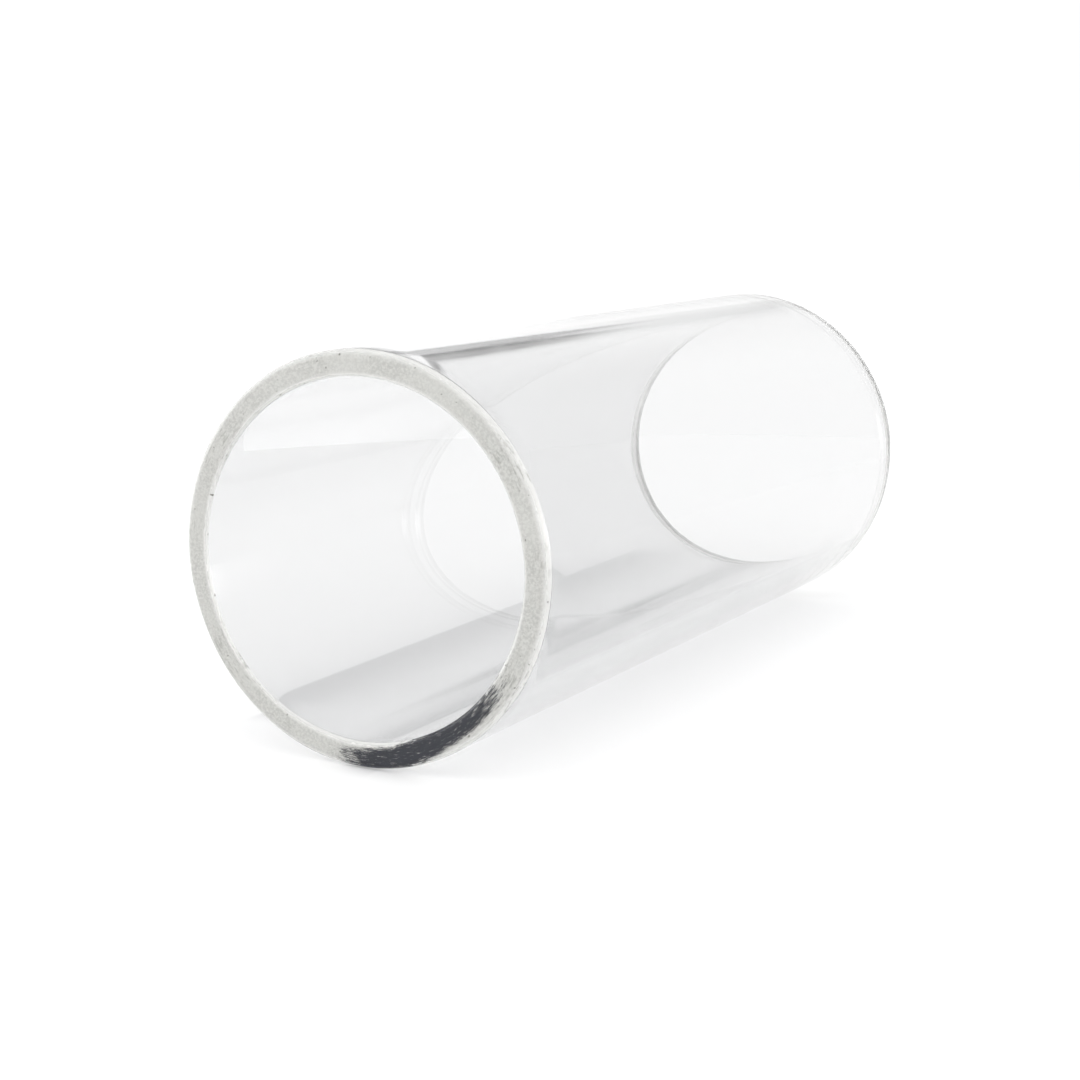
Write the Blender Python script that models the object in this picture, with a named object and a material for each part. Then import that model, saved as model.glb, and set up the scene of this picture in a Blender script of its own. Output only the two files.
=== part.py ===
"""Guitar slide: one open-ended tube of clear borosilicate glass, worn on a finger.

Metres, +Z up. The tube lies on its side along Y, as a slide lies on a table. The origin is
on the surface that it lies on, under the middle of its length.
"""

import math

import bmesh
import bpy

# Driving dimensions
OUTER_DIAMETER = 0.025
WALL = 0.0016
LENGTH = 0.060
OUTER_EDGE_RADIUS = 0.00055  # the melted edge that meets the strings' side
INNER_EDGE_RADIUS = 0.0003  # the edge that the finger passes

# Facets
SEGMENTS = 96  # flats round the tube
OUTER_EDGE_STEPS = 4
INNER_EDGE_STEPS = 3

OUTER_RADIUS = OUTER_DIAMETER / 2
BORE_RADIUS = OUTER_RADIUS - WALL
HALF_STEP = math.pi / SEGMENTS
AXIS_HEIGHT = OUTER_RADIUS * math.cos(HALF_STEP)  # one flat lies on the ground plane

GLASS_COLOUR = (0.93, 0.95, 0.95, 1.0)
GLASS_IOR = 1.474


def clear_scene():
    for obj in list(bpy.data.objects):
        bpy.data.objects.remove(obj)


def glass_material():
    material = bpy.data.materials.new("borosilicate_glass")
    material.use_nodes = True
    shader = material.node_tree.nodes["Principled BSDF"]
    shader.inputs["Base Color"].default_value = GLASS_COLOUR
    shader.inputs["Roughness"].default_value = 0.03
    shader.inputs["Metallic"].default_value = 0.0
    shader.inputs["IOR"].default_value = GLASS_IOR
    shader.inputs["Transmission Weight"].default_value = 1.0
    return material


def arc(centre_radius, centre_along, radius, start, end, steps):
    """Points (distance from the axis, place along it) of an arc, with both its ends."""
    points = []
    for i in range(steps + 1):
        angle = start + (end - start) * i / steps
        points.append(
            (
                centre_radius + radius * math.cos(angle),
                centre_along + radius * math.sin(angle),
            )
        )
    return points


def wall_profile():
    """The wall's closed section: up the outside, over one end, down the bore, over the other."""
    half = LENGTH / 2
    outer = OUTER_RADIUS - OUTER_EDGE_RADIUS
    inner = BORE_RADIUS + INNER_EDGE_RADIUS
    right_angle = math.pi / 2
    far_end = arc(
        outer, half - OUTER_EDGE_RADIUS, OUTER_EDGE_RADIUS, 0, right_angle, OUTER_EDGE_STEPS
    ) + arc(
        inner,
        half - INNER_EDGE_RADIUS,
        INNER_EDGE_RADIUS,
        right_angle,
        math.pi,
        INNER_EDGE_STEPS,
    )
    near_end = [(radius, -along) for radius, along in reversed(far_end)]
    return far_end + near_end


def turned_tube(name, profile):
    """The profile turned round the tube's axis, which runs along the object's Y."""
    mesh = bpy.data.meshes.new(name)
    bm = bmesh.new()
    rings = []
    for step in range(SEGMENTS):
        angle = (2 * step + 1) * HALF_STEP - math.pi / 2
        across, up = math.cos(angle), math.sin(angle)
        ring = [bm.verts.new((radius * across, along, radius * up)) for radius, along in profile]
        rings.append(ring)
    for step, ring in enumerate(rings):
        following = rings[(step + 1) % SEGMENTS]
        for i in range(len(profile)):
            j = (i + 1) % len(profile)
            bm.faces.new((ring[i], ring[j], following[j], following[i]))
    bmesh.ops.recalc_face_normals(bm, faces=bm.faces)
    bm.to_mesh(mesh)
    bm.free()
    mesh.shade_smooth()
    mesh.set_sharp_from_angle(angle=math.radians(35))
    return mesh


def glass_tube():
    tube = bpy.data.objects.new("glass_tube", turned_tube("glass_tube", wall_profile()))
    tube.location.z = AXIS_HEIGHT
    tube.data.materials.append(glass_material())
    bpy.context.scene.collection.objects.link(tube)
    return tube


clear_scene()
glass_tube()
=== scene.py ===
"""Guitar slide: the looks of a clear glass tube with ground rims, lying on a white table."""

import math

import bmesh
import bpy
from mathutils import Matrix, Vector

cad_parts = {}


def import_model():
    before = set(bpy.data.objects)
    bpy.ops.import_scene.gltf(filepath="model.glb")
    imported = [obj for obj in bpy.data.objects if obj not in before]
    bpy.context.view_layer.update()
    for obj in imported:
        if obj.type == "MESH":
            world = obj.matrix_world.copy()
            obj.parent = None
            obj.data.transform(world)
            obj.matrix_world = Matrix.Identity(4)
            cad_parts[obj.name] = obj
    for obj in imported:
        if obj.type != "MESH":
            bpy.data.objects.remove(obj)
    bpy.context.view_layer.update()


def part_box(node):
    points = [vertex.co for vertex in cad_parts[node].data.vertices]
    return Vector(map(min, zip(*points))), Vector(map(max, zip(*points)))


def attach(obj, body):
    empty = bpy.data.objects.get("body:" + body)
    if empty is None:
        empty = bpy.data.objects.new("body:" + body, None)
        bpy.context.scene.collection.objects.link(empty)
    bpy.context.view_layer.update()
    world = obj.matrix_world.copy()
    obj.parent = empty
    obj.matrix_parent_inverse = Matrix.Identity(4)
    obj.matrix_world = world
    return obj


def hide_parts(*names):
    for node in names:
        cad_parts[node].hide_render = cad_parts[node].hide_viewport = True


# The tube's wall and rims, in metres. Its length and outside come from the frame.
WALL = 0.0016
OUTER_EDGE_RADIUS = 0.00055
INNER_EDGE_RADIUS = 0.0003
END_WOBBLE = 0.00003  # how far a hand-ground end is from flat
WALL_WOBBLE = 0.00003  # how far the bore is from round
NEAR_WOBBLE = 0.8  # where the near end's unevenness starts, in radians
FAR_WOBBLE = 2.1

# Mesh
SEGMENTS = 288
EDGE_STEPS = 10
WALL_RINGS = 40
FACE_RINGS = 8
GROUND_FROM = 1  # steps of each rounded edge that the grinding leaves polished

# Camera
CAMERA_AZIMUTH = math.radians(27.75)
CAMERA_ELEVATION = math.radians(10.0)
CAMERA_DISTANCE = 0.1512
CAMERA_LENS = 71.2
AIM_LEFT = 0.0033
AIM_DOWN = 0.0033

# Stage
TABLE_BEHIND = 0.1195  # from the tube's middle to the table's far edge
TABLE_TURN = math.radians(-10)
TABLE_OTHER_SIDES = 0.3
TABLE_BELOW_TUBE = 0.00002
TABLE = (0.94, 0.94, 0.94, 1)
SHADOW = (0.1, 0.1, 0.12, 1)
SHADOWS = [  # sharp edge, where it has faded; start along the tube, softness; depth
    (-0.0128, -0.006, -0.0225, 0.002, 0.23),  # along the tube's left side
    (0.0011, -0.0016, -0.029, 0.003, 0.45),  # under the line where the tube touches the table
]
SHADOW_END = 0.006  # how far past the tube's far end they fade
SHADOW_EDGE = 0.0003  # softness of their sharp edges

# Light. Azimuth is measured from +X towards +Y, and both angles are in degrees.
TENT_LIGHT = 1.13
DARKEST = 0.02  # no direction gives less light than this
BOUNCES = 40  # light goes far along inside the wall
PANELS = [  # azimuth, half width, softness; lowest, softness; highest, softness; light added
    (278, 28, 8, 8, 8, 78, 8, 0.85),  # softbox beside the camera
    (195, 32, 5, -4, 5, 16, 5, 2.7),  # strip light low on the left
    (8, 42, 5, -4, 5, 9, 5, 2.5),  # strip light low on the right
    (182, 48, 8, 34, 8, 64, 8, -0.45),  # flag high on the left
    (88, 34, 5, 38, 5, 54, 5, -0.4),  # flag high at the back
    (137, 17, 4, -20, 3, 9, 3, 0.14),  # backdrop, brighter on the left
    (108, 10, 3, -2, 2, 9, 3, -0.12),  # and dimmer in the middle
    (115, 4, 2, 15.5, 0.7, 20, 2, -1.1),  # dark gap above the backdrop
    (107, 6, 3, 12.5, 1, 18, 3, -0.27),  # and its lighter end
]

# Glass
GLASS_IOR = 1.474
CLEAR_TINT = (0.81, 0.812, 0.815, 1)
GROUND_DARK = (0.4, 0.4, 0.382, 1)
GROUND_LIGHT = (0.54, 0.54, 0.515, 1)
# Painted highlight: the rims' rounded edges are lighter, standing in for the bright lines light makes
# along them.
GROUND_EDGE_HIGHLIGHT = (0.76, 0.76, 0.745, 1)
FAR_DARK = (0.75, 0.75, 0.73, 1)  # the far rim is painted lighter than the near one, to make up for the dim light it gets from inside the glass, and is clearer
FAR_LIGHT = (0.88, 0.88, 0.86, 1)
NEAR_CLEAR_SHARE = 0.3
FAR_CLEAR_SHARE = 0.7
OUTER_EDGE_WIDTH = 0.00045  # of the painted highlight along the rims' edges, where the glass is also glossier
INNER_EDGE_WIDTH = 0.00035
SMUDGE_ROUGHNESS = 0.05
SPECK = (0.2, 0.2, 0.18, 1)
# Colour of the dark streaks painted into the near rim's grinding marks at its bottom.
DARK_STREAKS = (0.006, 0.007, 0.012, 1)
# Where the painted dark streaks cover the near rim, in radians from straight down towards +X.
STREAKS_COME_IN = (-0.45, 0.1)
STREAKS_DIE_OUT = (0.65, 1.45)
STREAKS_CROSS = (0.0, 0.7)  # from the outside to the bore

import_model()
TUBE_LOW, TUBE_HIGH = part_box("glass_tube")
TUBE_CENTRE = (TUBE_LOW + TUBE_HIGH) / 2
LENGTH = TUBE_HIGH.y - TUBE_LOW.y
OUTER_RADIUS = (TUBE_HIGH.x - TUBE_LOW.x) / 2
BORE_RADIUS = OUTER_RADIUS - WALL


# ---------------------------------------------------------------- node helpers


def new_material(name):
    """A node material's data block, its node tree and its Principled shader."""
    material = bpy.data.materials.new(name)
    material.use_nodes = True
    tree = material.node_tree
    return material, tree, tree.nodes["Principled BSDF"]


def plug(tree, socket, value):
    """Links a node's output to the socket, or sets the socket to a plain value."""
    if isinstance(value, bpy.types.NodeSocket):
        tree.links.new(value, socket)
    else:
        socket.default_value = value


def math_node(tree, operation, *values):
    node = tree.nodes.new("ShaderNodeMath")
    node.operation = operation
    for socket, value in zip(node.inputs, values):
        plug(tree, socket, value)
    return node.outputs["Value"]


def vector_of(tree, x, y, z):
    node = tree.nodes.new("ShaderNodeCombineXYZ")
    for socket, value in zip(node.inputs, (x, y, z)):
        plug(tree, socket, value)
    return node.outputs["Vector"]


def noise(tree, vector, scale, detail=2.0, roughness=0.5):
    node = tree.nodes.new("ShaderNodeTexNoise")
    node.inputs["Scale"].default_value = scale
    node.inputs["Detail"].default_value = detail
    node.inputs["Roughness"].default_value = roughness
    tree.links.new(vector, node.inputs["Vector"])
    return node.outputs["Fac"]


def between(tree, value, start, end, low=0.0, high=1.0):
    """Runs smoothly from low to high as the value goes from start to end."""
    node = tree.nodes.new("ShaderNodeMapRange")
    node.interpolation_type = "SMOOTHSTEP"
    for name, number in zip(("From Min", "From Max", "To Min", "To Max"), (start, end, low, high)):
        node.inputs[name].default_value = number
    plug(tree, node.inputs["Value"], value)
    return node.outputs["Result"]


def product(tree, *values):
    result = values[0]
    for value in values[1:]:
        result = math_node(tree, "MULTIPLY", result, value)
    return result


def blend_colour(tree, share, first, second):
    """The first colour where share is 0 and the second where it is 1."""
    node = tree.nodes.new("ShaderNodeMix")
    node.data_type = "RGBA"
    plug(tree, node.inputs[0], share)
    plug(tree, node.inputs[6], first)
    plug(tree, node.inputs[7], second)
    return node.outputs[2]


def bump(tree, shader, height, distance, strength):
    node = tree.nodes.new("ShaderNodeBump")
    node.inputs["Distance"].default_value = distance
    node.inputs["Strength"].default_value = strength
    tree.links.new(height, node.inputs["Height"])
    tree.links.new(node.outputs["Normal"], shader.inputs["Normal"])


def tube_coordinates(tree):
    """The object's coordinates, and round the tube's axis the place along it, the distance from
    it and the angle from straight down towards +X, in metres and radians."""
    coordinates = tree.nodes.new("ShaderNodeTexCoord")
    parts = tree.nodes.new("ShaderNodeSeparateXYZ")
    tree.links.new(coordinates.outputs["Object"], parts.inputs[0])
    x, y, z = (parts.outputs[name] for name in "XYZ")
    squares = math_node(tree, "ADD", math_node(tree, "POWER", x, 2), math_node(tree, "POWER", z, 2))
    radius = math_node(tree, "SQRT", squares)
    angle = math_node(tree, "ARCTAN2", x, math_node(tree, "MULTIPLY", z, -1))
    return coordinates.outputs["Object"], y, radius, angle


# ---------------------------------------------------------------- materials


def clear_glass():
    """Polished wall: faint smudges in its gloss, and the long ripples of drawn glass."""
    material, tree, shader = new_material("clear_glass")
    place, along, radius, angle = tube_coordinates(tree)
    shader.inputs["Base Color"].default_value = CLEAR_TINT
    shader.inputs["IOR"].default_value = GLASS_IOR
    shader.inputs["Transmission Weight"].default_value = 1.0
    smudge = noise(tree, place, scale=130, detail=3)
    roughness = between(tree, smudge, 0.5, 0.75, 0.0, SMUDGE_ROUGHNESS)
    tree.links.new(roughness, shader.inputs["Roughness"])
    turn = math_node(tree, "ABSOLUTE", angle)  # so that the ripples meet at the top
    drawn_out = vector_of(tree, product(tree, along, 60), turn, radius)
    bump(tree, shader, noise(tree, drawn_out, scale=3), distance=0.000002, strength=0.5)
    return material


def painted_dark_streaks(tree, ring, radius, angle):
    """The share of the dark streaks painted into the grinding marks, which start at the outer edge
    at the rim's bottom and near the bore further round."""
    outside, inside = OUTER_RADIUS - 0.0005, BORE_RADIUS + 0.0003
    middle = between(tree, angle, *STREAKS_CROSS, outside, inside)
    off_middle = math_node(tree, "ABSOLUTE", math_node(tree, "SUBTRACT", radius, middle))
    cover = product(
        tree,
        between(tree, off_middle, 0.0004, 0.0014, 1.0, 0.0),
        between(tree, angle, *STREAKS_COME_IN),
        between(tree, angle, *STREAKS_DIE_OUT, 1.0, 0.0),
    )
    fine = vector_of(tree, product(tree, ring, 2.2), product(tree, angle, 2.5), 0.0)
    streaks = noise(tree, fine, scale=5, detail=6, roughness=0.85)
    covered = math_node(tree, "ADD", product(tree, cover, 0.46), streaks)
    return product(tree, between(tree, covered, 0.76, 0.9), between(tree, cover, 0.0, 0.1))


def ground_glass(name, dark, light, clear_share, has_dark_streaks):
    """Ground rim: grey and frosted, with grain, concentric grinding marks and dark specks."""
    material, tree, shader = new_material(name)
    place, _, radius, angle = tube_coordinates(tree)
    ring = product(tree, radius, 1000)  # in millimetres
    turn = math_node(tree, "ABSOLUTE", angle)  # so that the marks meet at the top
    grooves = vector_of(tree, ring, product(tree, turn, 1.5), 0.0)
    marks = noise(tree, grooves, scale=8, detail=4, roughness=0.7)
    grain = noise(tree, place, scale=6000, detail=2, roughness=0.7)
    specks = noise(tree, place, scale=3200, detail=1)
    cloud = noise(tree, place, scale=260, detail=2)
    patches = noise(tree, vector_of(tree, turn, 0.0, 0.0), scale=1.7, detail=1)

    colour = blend_colour(tree, between(tree, grain, 0.35, 0.65), dark, light)
    colour = blend_colour(tree, between(tree, cloud, 0.35, 0.7, 0.0, 0.5), colour, light)
    outer_edge = between(tree, radius, OUTER_RADIUS - OUTER_EDGE_WIDTH, OUTER_RADIUS)
    inner_edge = between(tree, radius, BORE_RADIUS, BORE_RADIUS + INNER_EDGE_WIDTH, 1.0, 0.0)
    edge = math_node(tree, "MAXIMUM", outer_edge, inner_edge)
    # Painted highlight along the rounded edges.
    colour = blend_colour(tree, edge, colour, GROUND_EDGE_HIGHLIGHT)
    scored = between(tree, marks, 0.52, 0.62, 0.0, 0.55)
    scored = product(tree, scored, between(tree, patches, 0.45, 0.6))
    colour = blend_colour(tree, scored, colour, SPECK)
    colour = blend_colour(tree, between(tree, specks, 0.72, 0.78), colour, SPECK)
    if has_dark_streaks:
        # Dark streaks painted into the near rim's grinding marks.
        colour = blend_colour(tree, painted_dark_streaks(tree, ring, radius, angle), colour, DARK_STREAKS)
    tree.links.new(colour, shader.inputs["Base Color"])

    rough = product(
        tree,
        between(tree, marks, 0.3, 0.7, 0.42, 0.62),
        between(tree, edge, 0.0, 1.0, 1.0, 0.4),
    )
    tree.links.new(rough, shader.inputs["Roughness"])
    shader.inputs["Transmission Weight"].default_value = clear_share
    shader.inputs["IOR"].default_value = GLASS_IOR
    height = math_node(tree, "ADD", marks, product(tree, grain, 0.5))
    bump(tree, shader, height, distance=0.00004, strength=0.7)
    return material


# ---------------------------------------------------------------- the tube


def arc(centre_radius, centre_along, radius, start, end, steps):
    """Points (distance from the axis, place along it) of an arc, with both its ends."""
    points = []
    for i in range(steps + 1):
        angle = start + (end - start) * i / steps
        points.append(
            (
                centre_radius + radius * math.cos(angle),
                centre_along + radius * math.sin(angle),
            )
        )
    return points


def line(start, end, steps):
    """Points between two points, without its ends."""
    return [
        tuple(a + (b - a) * i / steps for a, b in zip(start, end)) for i in range(1, steps)
    ]


def waves_round(angle, *waves):
    """The sum of a few sine waves round the tube, each (how many, size, start)."""
    return sum(size * math.sin(count * angle + start) for count, size, start in waves)


def end_profile(angle, wobble):
    """One end's section from the outside to the bore, with the end at the top.

    The ends are ground by hand, so the width of each rounded edge varies round the rim."""
    uneven = waves_round(angle, (1, 0.6, wobble), (3, 0.3, 2 * wobble))
    half = LENGTH / 2 - END_WOBBLE * (1 + uneven)
    outer_edge = OUTER_EDGE_RADIUS * (
        1 + waves_round(angle, (2, 0.16, wobble), (5, 0.08, 1.7 * wobble), (11, 0.04, wobble))
    )
    inner_edge = INNER_EDGE_RADIUS * (
        1 + waves_round(angle, (3, 0.14, wobble), (7, 0.08, 2.3 * wobble), (13, 0.05, wobble))
    )
    bore = BORE_RADIUS + WALL_WOBBLE * waves_round(angle, (2, 0.7, 0.4), (3, 0.3, 1.9))
    right_angle = math.pi / 2
    outer_arc = arc(
        OUTER_RADIUS - outer_edge, half - outer_edge, outer_edge, 0, right_angle, EDGE_STEPS
    )
    inner_arc = arc(
        bore + inner_edge, half - inner_edge, inner_edge, right_angle, math.pi, EDGE_STEPS
    )
    return outer_arc + line(outer_arc[-1], inner_arc[0], FACE_RINGS) + inner_arc


def wall_profile(angle):
    """The wall's closed section at an angle round the tube: far end, bore, near end, outside."""
    far_end = end_profile(angle, FAR_WOBBLE)
    near_end = [(radius, -along) for radius, along in reversed(end_profile(angle, NEAR_WOBBLE))]
    bore = line(far_end[-1], near_end[0], WALL_RINGS)
    outside = line(near_end[-1], far_end[0], WALL_RINGS)
    return far_end + bore + near_end + outside


def glass_tube():
    mesh = bpy.data.meshes.new("clear_glass_tube")
    bm = bmesh.new()
    rings = []
    for step in range(SEGMENTS):
        angle = math.tau * step / SEGMENTS
        across, up = math.cos(angle), math.sin(angle)
        rings.append([bm.verts.new((r * across, y, r * up)) for r, y in wall_profile(angle)])
    count = len(rings[0])
    end_count = 2 * EDGE_STEPS + FACE_RINGS  # faces over one end, with its two rounded edges
    near_start = end_count + WALL_RINGS
    far_rim = range(GROUND_FROM, end_count - GROUND_FROM)
    near_rim = range(near_start + GROUND_FROM, near_start + end_count - GROUND_FROM)
    for step, ring in enumerate(rings):
        following = rings[(step + 1) % SEGMENTS]
        for i in range(count):
            j = (i + 1) % count
            face = bm.faces.new((ring[i], ring[j], following[j], following[i]))
            face.material_index = 1 if i in near_rim else 2 if i in far_rim else 0
    bmesh.ops.recalc_face_normals(bm, faces=bm.faces)
    bm.to_mesh(mesh)
    bm.free()
    mesh.shade_smooth()
    tube = bpy.data.objects.new("clear_glass_tube", mesh)
    tube.location = TUBE_CENTRE
    mesh.materials.append(clear_glass())
    near = ground_glass(
        "ground_rim_near", GROUND_DARK, GROUND_LIGHT, NEAR_CLEAR_SHARE, has_dark_streaks=True
    )
    # The far rim is the ground rim painted lighter, to make up for the dim light it gets from inside
    # the glass.
    far = ground_glass("ground_rim_far_painted_lighter", FAR_DARK, FAR_LIGHT, FAR_CLEAR_SHARE, has_dark_streaks=False)
    mesh.materials.append(near)
    mesh.materials.append(far)
    bpy.context.scene.collection.objects.link(tube)
    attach(tube, "root")
    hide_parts("glass_tube")


# ---------------------------------------------------------------- stage


def table():
    """A white table top, with the tube's soft shadows."""
    corners = [
        (-TABLE_OTHER_SIDES, -TABLE_OTHER_SIDES),
        (TABLE_OTHER_SIDES, -TABLE_OTHER_SIDES),
        (TABLE_OTHER_SIDES, TABLE_BEHIND),
        (-TABLE_OTHER_SIDES, TABLE_BEHIND),
    ]
    mesh = bpy.data.meshes.new("table_top")
    mesh.from_pydata([(x, y, 0) for x, y in corners], [], [(0, 1, 2, 3)])
    top = bpy.data.objects.new("table_top", mesh)
    top.rotation_euler.z = TABLE_TURN
    top.location.z = -TABLE_BELOW_TUBE
    bpy.context.scene.collection.objects.link(top)
    material, tree, shader = new_material("white_table")
    geometry = tree.nodes.new("ShaderNodeNewGeometry")
    parts = tree.nodes.new("ShaderNodeSeparateXYZ")
    tree.links.new(geometry.outputs["Position"], parts.inputs[0])
    x, y = parts.outputs["X"], parts.outputs["Y"]
    shade = 0.0
    for sharp, faded, start, softness, depth in SHADOWS:
        outside = math.copysign(SHADOW_EDGE, sharp - faded)
        band = product(
            tree,
            between(tree, x, sharp + outside, sharp - outside),
            between(tree, x, sharp, faded, depth, 0.0),
            between(tree, y, start - softness, start + softness),
            between(tree, y, LENGTH / 2, LENGTH / 2 + SHADOW_END, 1.0, 0.0),
        )
        shade = math_node(tree, "ADD", band, shade)
    tree.links.new(blend_colour(tree, shade, TABLE, SHADOW), shader.inputs["Base Color"])
    shader.inputs["Roughness"].default_value = 0.8
    shader.inputs["Specular IOR Level"].default_value = 0.0
    mesh.materials.append(material)


def degrees(tree, angle):
    return math_node(tree, "DEGREES", angle)


def panel(
    tree, direction, elevation, azimuth, half_width, side_soft, low, low_soft, high, high_soft, amount
):
    """The light that one panel adds, or a dark flag takes away, in degrees round the tube."""
    facing = tree.nodes.new("ShaderNodeVectorMath")
    facing.operation = "DOT_PRODUCT"
    turn = math.radians(azimuth)
    facing.inputs[1].default_value = (math.cos(turn), math.sin(turn), 0)
    tree.links.new(direction, facing.inputs[0])
    off_centre = degrees(tree, math_node(tree, "ARCCOSINE", facing.outputs["Value"]))
    return product(
        tree,
        between(tree, off_centre, half_width - side_soft, half_width + side_soft, 1.0, 0.0),
        between(tree, elevation, low - low_soft, low + low_soft),
        between(tree, elevation, high - high_soft, high + high_soft, 1.0, 0.0),
        amount,
    )


def world():
    """A white studio tent with its brighter and darker parts."""
    background = bpy.data.worlds.new("studio")
    bpy.context.scene.world = background
    background.use_nodes = True
    tree = background.node_tree
    coordinates = tree.nodes.new("ShaderNodeTexCoord")
    parts = tree.nodes.new("ShaderNodeSeparateXYZ")
    tree.links.new(coordinates.outputs["Generated"], parts.inputs[0])
    elevation = degrees(tree, math_node(tree, "ARCSINE", parts.outputs["Z"]))
    level = tree.nodes.new("ShaderNodeVectorMath")
    level.operation = "NORMALIZE"
    flattened = vector_of(tree, parts.outputs["X"], parts.outputs["Y"], 0.0)
    tree.links.new(flattened, level.inputs[0])
    light = TENT_LIGHT
    for one in PANELS:
        added = panel(tree, level.outputs["Vector"], elevation, *one)
        light = math_node(tree, "ADD", added, light)
    light = math_node(tree, "MAXIMUM", light, DARKEST)
    tree.nodes["Background"].inputs["Color"].default_value = (1, 1, 1, 1)
    tree.links.new(light, tree.nodes["Background"].inputs["Strength"])


def camera():
    data = bpy.data.cameras.new("camera")
    data.lens = CAMERA_LENS
    data.clip_start = 0.005
    data.clip_end = 20
    cam = bpy.data.objects.new("camera", data)
    bpy.context.scene.collection.objects.link(cam)
    back = Vector(
        (
            math.sin(CAMERA_AZIMUTH) * math.cos(CAMERA_ELEVATION),
            -math.cos(CAMERA_AZIMUTH) * math.cos(CAMERA_ELEVATION),
            math.sin(CAMERA_ELEVATION),
        )
    )
    turn = back.to_track_quat("Z", "Y")
    right = turn @ Vector((1, 0, 0))
    up = turn @ Vector((0, 1, 0))
    aim = TUBE_CENTRE - AIM_LEFT * right - AIM_DOWN * up
    cam.location = aim + CAMERA_DISTANCE * back
    cam.rotation_mode = "QUATERNION"
    cam.rotation_quaternion = turn
    bpy.context.scene.camera = cam


def look():
    scene = bpy.context.scene
    scene.view_settings.view_transform = "Standard"
    scene.cycles.max_bounces = BOUNCES
    scene.cycles.transmission_bounces = BOUNCES
    scene.cycles.glossy_bounces = BOUNCES
    scene.cycles.blur_glossy = 0  # glossy light stays as sharp as it is


glass_tube()
table()
world()
camera()
look()
